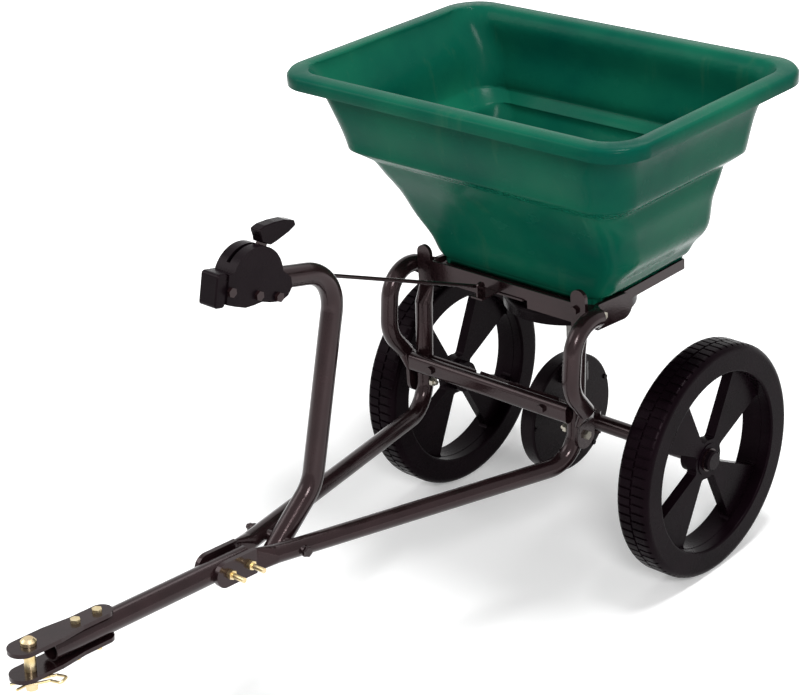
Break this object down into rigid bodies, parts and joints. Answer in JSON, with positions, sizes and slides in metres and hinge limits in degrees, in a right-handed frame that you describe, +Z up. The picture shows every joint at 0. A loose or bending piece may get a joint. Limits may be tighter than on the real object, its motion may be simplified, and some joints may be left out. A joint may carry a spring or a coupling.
{
  "type": "broadcast spreader",
  "caption": "Tow-behind broadcast spreader: stepped hopper on a tube frame with a wheel-driven impeller and a lever-worked shutter.",
  "frame": {"origin": "on the ground below the middle of the machine's bounding box", "axes": "+Z up, -Y forward along the tongue towards the hitch, +X the machine's left-to-right width"},
  "size_m": [0.538, 1.0652, 0.638],
  "materials": {
    "green_plastic": "satin moulded",
    "black_steel": "gloss black powder coat",
    "gold_zinc": "yellow zinc plate",
    "zinc_steel": "clear zinc plate",
    "bare_steel": "plain steel",
    "black_plastic": "satin moulded",
    "nylon": "natural"
  },
  "bodies": {
    "frame": {"axle_bracket_left": "black_steel", "axle_bracket_right": "black_steel", "axle_bushes": "nylon", "case_screws": "zinc_steel", "case_spacers": "zinc_steel", "case_tie_bolt": "zinc_steel", "clevis_bolts": "gold_zinc", "clevis_lower": "black_steel", "clevis_upper": "black_steel", "control_housing_left": "black_plastic", "control_housing_right": "black_plastic", "control_nose": "black_plastic", "control_post": "black_steel", "crossbar": "black_steel", "crossbar_bolts": "zinc_steel", "frame_tube_left": "black_steel", "frame_tube_right": "black_steel", "gate_guides": "bare_steel", "gear_case_left": "black_plastic", "gear_case_right": "black_plastic", "head_bolts": "zinc_steel", "hopper": "green_plastic", "hopper_bolts": "zinc_steel", "hopper_bush": "nylon", "hopper_tray": "black_steel", "lever_pivot_bolt": "zinc_steel", "post_bolt": "gold_zinc", "post_spacers": "gold_zinc", "shaft_bushes": "nylon", "side_tube_bolts": "zinc_steel", "side_tube_left": "black_steel", "side_tube_right": "black_steel", "tongue": "black_steel", "tongue_bolts": "gold_zinc", "upright_bolts": "zinc_steel"},
    "axle": {"axle": "bare_steel", "axle_sleeve_left": "bare_steel", "axle_sleeve_right": "bare_steel", "sleeve_bolts": "zinc_steel", "axle_washers": "zinc_steel", "axle_caps": "black_plastic", "ring_gear": "nylon", "gear_pin": "zinc_steel", "wheel_right": "black_plastic", "wheel_bush_right": "nylon", "wheel_drive_pin": "zinc_steel"},
    "wheel_left": {"wheel_left": "black_plastic", "wheel_bush_left": "nylon"},
    "impeller": {"impeller_shaft": "bare_steel", "pinion": "nylon", "shaft_pins": "zinc_steel", "impeller": "black_plastic", "agitator": "bare_steel"},
    "lever": {"lever": "bare_steel", "lever_grip": "black_plastic"},
    "shutter": {"gate": "bare_steel", "control_rod": "bare_steel"},
    "hitch_pin": {"hitch_pin": "gold_zinc"},
    "hairpin_clip": {"hairpin_clip": "gold_zinc"}
  },
  "joints": [
    {"name": "axle_spin", "type": "hinge", "parent": "frame", "child": "axle", "pos_m": [0, 0.38064, 0.152], "axis": [1, 0, 0], "continuous": true},
    {"name": "left_wheel_spin", "type": "hinge", "parent": "axle", "child": "wheel_left", "pos_m": [-0.206, 0.38064, 0.152], "axis": [1, 0, 0], "continuous": true},
    {"name": "impeller_spin", "type": "hinge", "parent": "frame", "child": "impeller", "pos_m": [0, 0.38064, 0.336], "axis": [0, 0, 1], "continuous": true},
    {"name": "lever_hinge", "type": "hinge", "parent": "frame", "child": "lever", "pos_m": [0, -0.16236, 0.525], "axis": [1, 0, 0], "range_deg": [0, 44]},
    {"name": "shutter_slide", "type": "slide", "parent": "frame", "child": "shutter", "axis": [0, -1, 0], "range_m": [0, 0.02456]},
    {"name": "hitch_pin_turn", "type": "hinge", "parent": "frame", "child": "hitch_pin", "pos_m": [0, -0.50736, 0.242], "axis": [0, 0.0767, 0.9971], "continuous": true},
    {"name": "clip_pull", "type": "slide", "parent": "hitch_pin", "child": "hairpin_clip", "axis": [0.4226, 0.9036, -0.0695], "range_m": [0, 0.035]}
  ],
  "couplings": [
    {"joint": "impeller_spin", "follows": "axle_spin", "ratio": 4},
    {"joint": "shutter_slide", "follows": "lever_hinge", "m_per_rad": 0.03197}
  ]
}
